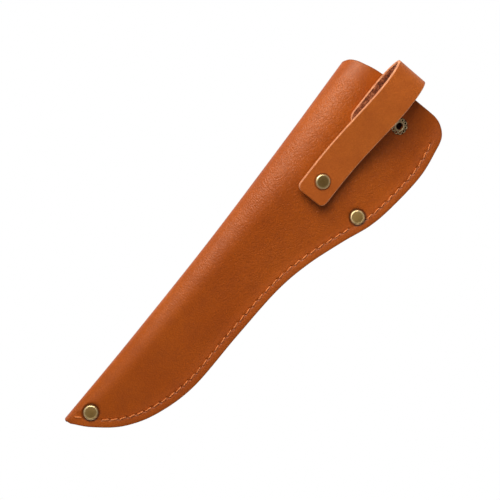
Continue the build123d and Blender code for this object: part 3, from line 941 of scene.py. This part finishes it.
# Turned profiles from the middle or the bore outwards, as (radius, height, rub wear with its painted
# highlight)
CAP_PROFILE = [
    (0.0, 1.46, 0.05), (1.2, 1.46, 0.05), (2.4, 1.44, 0.08), (3.0, 1.42, 0.12), (3.35, 1.42, 0.30),
    (3.60, 1.46, 0.65), (3.85, 1.44, 1.0), (4.10, 1.34, 1.0), (4.32, 1.16, 0.95), (4.50, 0.92, 0.8),
    (4.62, 0.62, 0.5), (4.68, 0.30, 0.25), (4.70, 0.0, 0.1), (4.70, -0.25, 0.0),
]
WASHER_PROFILE = [
    (2.5, -0.05, 0.1), (2.6, 0.22, 0.1), (3.4, 0.26, 0.05), (4.4, 0.30, 0.1), (4.9, 0.40, 0.45),
    (5.12, 0.36, 0.6), (5.25, 0.18, 0.3), (5.28, -0.10, 0.0),
]
BORE_PROFILE = [(2.1, -3.4, 0.0), (2.1, 0.0, 0.0), (2.1, 0.5, 0.1)]
BARREL_PROFILE = [
    (2.1, 0.5, 0.1), (2.16, 0.84, 0.4), (2.34, 1.02, 0.9), (2.62, 1.06, 1.0), (2.88, 0.96, 0.9),
    (3.06, 0.76, 0.6), (3.16, 0.52, 0.3), (3.2, 0.30, 0.1),
]
PETALS = 10
PETAL_START = 0.25
PETAL_RING = 4.0
PETAL_LENGTH = 0.92
PETAL_WIDTH = 0.88
PETAL_WIRE = 0.31
PETAL_HEIGHT = 0.55
PETAL_TILT = 0.16
PETAL_RUB = 0.25
PETAL_STEPS = 20
WIRE_STEPS = 10


def seat_place(origin, tilted):
    """Function from (x, y, height) beside a seat to a point in the frame, in metres."""
    if tilted:
        return lambda x, y, z: strap_place(origin[0] + x, origin[1] + y, origin[2] + z)
    return lambda x, y, z: place((origin[0] + x, origin[1] + y, origin[2] + z))


def lathe(name, at, profile, material):
    """Turned piece from a profile of (radius, height, rub wear and painted highlight) points, outermost last.
    """
    angles = np.linspace(0, 2 * math.pi, LATHE_STEPS, endpoint=False)
    vertices = [at(r * math.cos(a), r * math.sin(a), h) for r, h, _ in profile for a in angles]
    index = np.arange(len(vertices)).reshape(len(profile), LATHE_STEPS)
    piece = make_mesh(name, vertices, tube_quads(index, True), [material])
    write_attribute(piece, "rub_and_glint", np.repeat([rub_and_glint for _, _, rub_and_glint in profile], LATHE_STEPS))
    return piece


def build_petals(at):
    """Ring of curled prongs round the eyelet, each a small raised loop."""
    vertices, faces, rub_and_glint = [], [], []
    around = np.linspace(0, 2 * math.pi, PETAL_STEPS, endpoint=False)
    section = np.linspace(0, 2 * math.pi, WIRE_STEPS, endpoint=False)
    for number in range(PETALS):
        turn = 2 * math.pi * (number + PETAL_START) / PETALS
        base = len(vertices)
        for a in around:
            for b in section:
                reach = 1 + PETAL_WIRE * math.cos(b) / PETAL_WIDTH
                x = PETAL_RING + PETAL_LENGTH * math.cos(a) * reach
                y = PETAL_WIDTH * math.sin(a) * reach
                z = PETAL_HEIGHT + PETAL_WIRE * math.sin(b) - PETAL_TILT * math.cos(a)
                turned = (x * math.cos(turn) - y * math.sin(turn), x * math.sin(turn) + y * math.cos(turn))
                vertices.append(at(*turned, z))
                # The top of each petal's wire is brighter: a painted highlight on top of the rub
                rub_and_glint.append(PETAL_RUB + (1 - PETAL_RUB) * max(math.sin(b), 0) ** 2)
        index = base + np.arange(PETAL_STEPS * WIRE_STEPS).reshape(PETAL_STEPS, WIRE_STEPS)
        faces += tube_quads(np.vstack([index, index[:1]]), False)
    petals = make_mesh("eyelet_petals", vertices, faces, [ROSETTE_BRASS])
    write_attribute(petals, "rub_and_glint", rub_and_glint)
    return petals


def dress(node, material):
    """Give a CAD node that stays in view its material."""
    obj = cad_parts[node]
    obj.data.materials.clear()
    obj.data.materials.append(material)


# ------------------------------------------------------------------ assembly
skin = sheath_grid()
body = build_body(skin)
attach(body, "root")
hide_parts("sheath_body")

welt = build_welt(skin)
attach(welt, "root")
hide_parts("edge_welt")

for name, height, up, slant, node in (
    ("seam_thread_front", SEAM_STACK, 1, STITCH_SLANT, "top_thread"),
    ("seam_thread_back", 0.0, -1, -STITCH_SLANT, "bobbin_thread"),
):
    thread = build_thread(name, height, up, slant)
    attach(thread, "root")
    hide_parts(node)

# The strap is cut into its fixed end, its fold and its flap, which share their end points
stations, distances = strap_stations()
tip = int(np.argmax(stations[:, 0]))
low_end = int(np.argmax(stations[:, 0] >= FOLD_FROM))
high_end = tip + int(np.argmax(stations[tip:, 0] <= FOLD_TO))
anchor = build_strap("strap_anchor", stations[: low_end + 1], distances[: low_end + 1], ANCHOR_CORNER, 0)
bend = build_strap("strap_fold", stations[low_end: high_end + 1], distances[low_end: high_end + 1], 0, 0)
flap = build_strap("strap_flap", stations[high_end:], distances[high_end:], 0, FLAP_CORNER)
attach(anchor, "root")
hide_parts("belt_strap_anchor")
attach(flap, "flap")
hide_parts("belt_strap_flap")
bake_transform(bend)

seam_seat = SEAM_STACK - CAP_SINK
for name, at, riding, node in (
    ("tip_rivet_head", seat_place((*SEAM_RIVETS[0], seam_seat), False), "root", "tip_rivet_cap"),
    ("throat_rivet_head", seat_place((*SEAM_RIVETS[1], seam_seat), False), "root", "throat_rivet_cap"),
    ("strap_rivet_head", seat_place((ANCHOR_RIVET, 0, LEATHER - CAP_SINK), True), "root", "strap_rivet_cap"),
    ("snap_head", seat_place((SNAP, 0, FLAP_TOP - CAP_SINK), True), "flap", "snap_cap"),
):
    head = lathe(name, at, CAP_PROFILE, BRASS)
    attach(head, riding)
    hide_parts(node)

eyelet_at = seat_place((*EYELET, EYELET_SEAT), True)
washer = lathe("eyelet_cup", eyelet_at, WASHER_PROFILE, DARK_BRASS)
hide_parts("eyelet_washer")
bore = lathe("eyelet_bore", eyelet_at, BORE_PROFILE, DARK_BRASS)
barrel = lathe("eyelet_barrel", eyelet_at, BARREL_PROFILE, ROSETTE_BRASS)
petals = build_petals(eyelet_at)
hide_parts("lanyard_eyelet")
for piece in (washer, bore, barrel, petals):
    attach(piece, "root")

for node in (
    "tip_rivet_base", "throat_rivet_base", "strap_rivet_base",
    "snap_socket", "snap_stud", "snap_post",
):
    dress(node, BRASS)
dress("snap_spring", SPRING)

# ------------------------------------------------------------------ floor, light and camera
FLOOR_Z = -0.0008
FLOOR_HALF = 3.0
AIM = Vector((0.002, 0.0005, 0.010))
CAMERA_RIGHT = Vector((0.6159, -0.7878, 0))
CAMERA_TILT = math.radians(6.5)
LENS = 100.0
SENSOR = 36.0
FRAME_WIDTH = 0.300
LIGHT_UP = Vector((0.3, 0.5, 0.8))
OVERHEAD_LEFT = 0.6
OVERHEAD_LEAN = 0.35
WORLD_COLOUR = (1.0, 0.95, 0.88, 1.0)
WORLD_STRENGTH = 0.12


def look(obj, target, up):
    """Turn an object to look at a point with a given direction up."""
    back = (obj.location - target).normalized()
    right = up.cross(back).normalized()
    obj.rotation_euler = Matrix((right, back.cross(right), back)).transposed().to_euler()


def area_light(name, direction, distance, size, energy, colour):
    """Square soft light that shines on the object from a direction."""
    data = bpy.data.lights.new(name, "AREA")
    data.size = size
    data.energy = energy
    data.color = colour
    light = bpy.data.objects.new(name, data)
    light.location = AIM + direction.normalized() * distance
    look(light, AIM, LIGHT_UP)
    bpy.context.scene.collection.objects.link(light)


corners = [(FLOOR_HALF * x, FLOOR_HALF * y, FLOOR_Z) for x, y in ((-1, -1), (1, -1), (1, 1), (-1, 1))]
floor = make_mesh("floor", corners, [(0, 1, 2, 3)], [floor_paper()])

up_in_view = Vector((-CAMERA_RIGHT.y, CAMERA_RIGHT.x, 0))
towards_camera = Vector((0, math.sin(CAMERA_TILT), math.cos(CAMERA_TILT)))
camera_data = bpy.data.cameras.new("camera")
camera_data.lens = LENS
camera_data.sensor_width = SENSOR
camera = bpy.data.objects.new("camera", camera_data)
camera.location = AIM + towards_camera * (FRAME_WIDTH * LENS / SENSOR)
look(camera, AIM, up_in_view)
bpy.context.scene.collection.objects.link(camera)
bpy.context.scene.camera = camera

from_upper_left = (up_in_view - CAMERA_RIGHT * OVERHEAD_LEFT).normalized()
nearly_above = Vector((0, 0, 1.0)) + from_upper_left * OVERHEAD_LEAN
area_light("key", Vector((0.46, 0.52, 0.80)), distance=0.85, size=0.46, energy=4.0, colour=(1.0, 0.97, 0.90))
area_light("side", Vector((0.30, 0.70, 0.64)), distance=0.50, size=0.3, energy=1.35, colour=(1.0, 0.99, 0.95))
area_light("overhead", nearly_above, distance=2.2, size=1.4, energy=9.0, colour=(1.0, 0.97, 0.92))

world = bpy.data.worlds.new("studio")
world.use_nodes = True
world.node_tree.nodes["Background"].inputs["Color"].default_value = WORLD_COLOUR
world.node_tree.nodes["Background"].inputs["Strength"].default_value = WORLD_STRENGTH
scene = bpy.context.scene
scene.world = world
scene.view_settings.view_transform = "Standard"
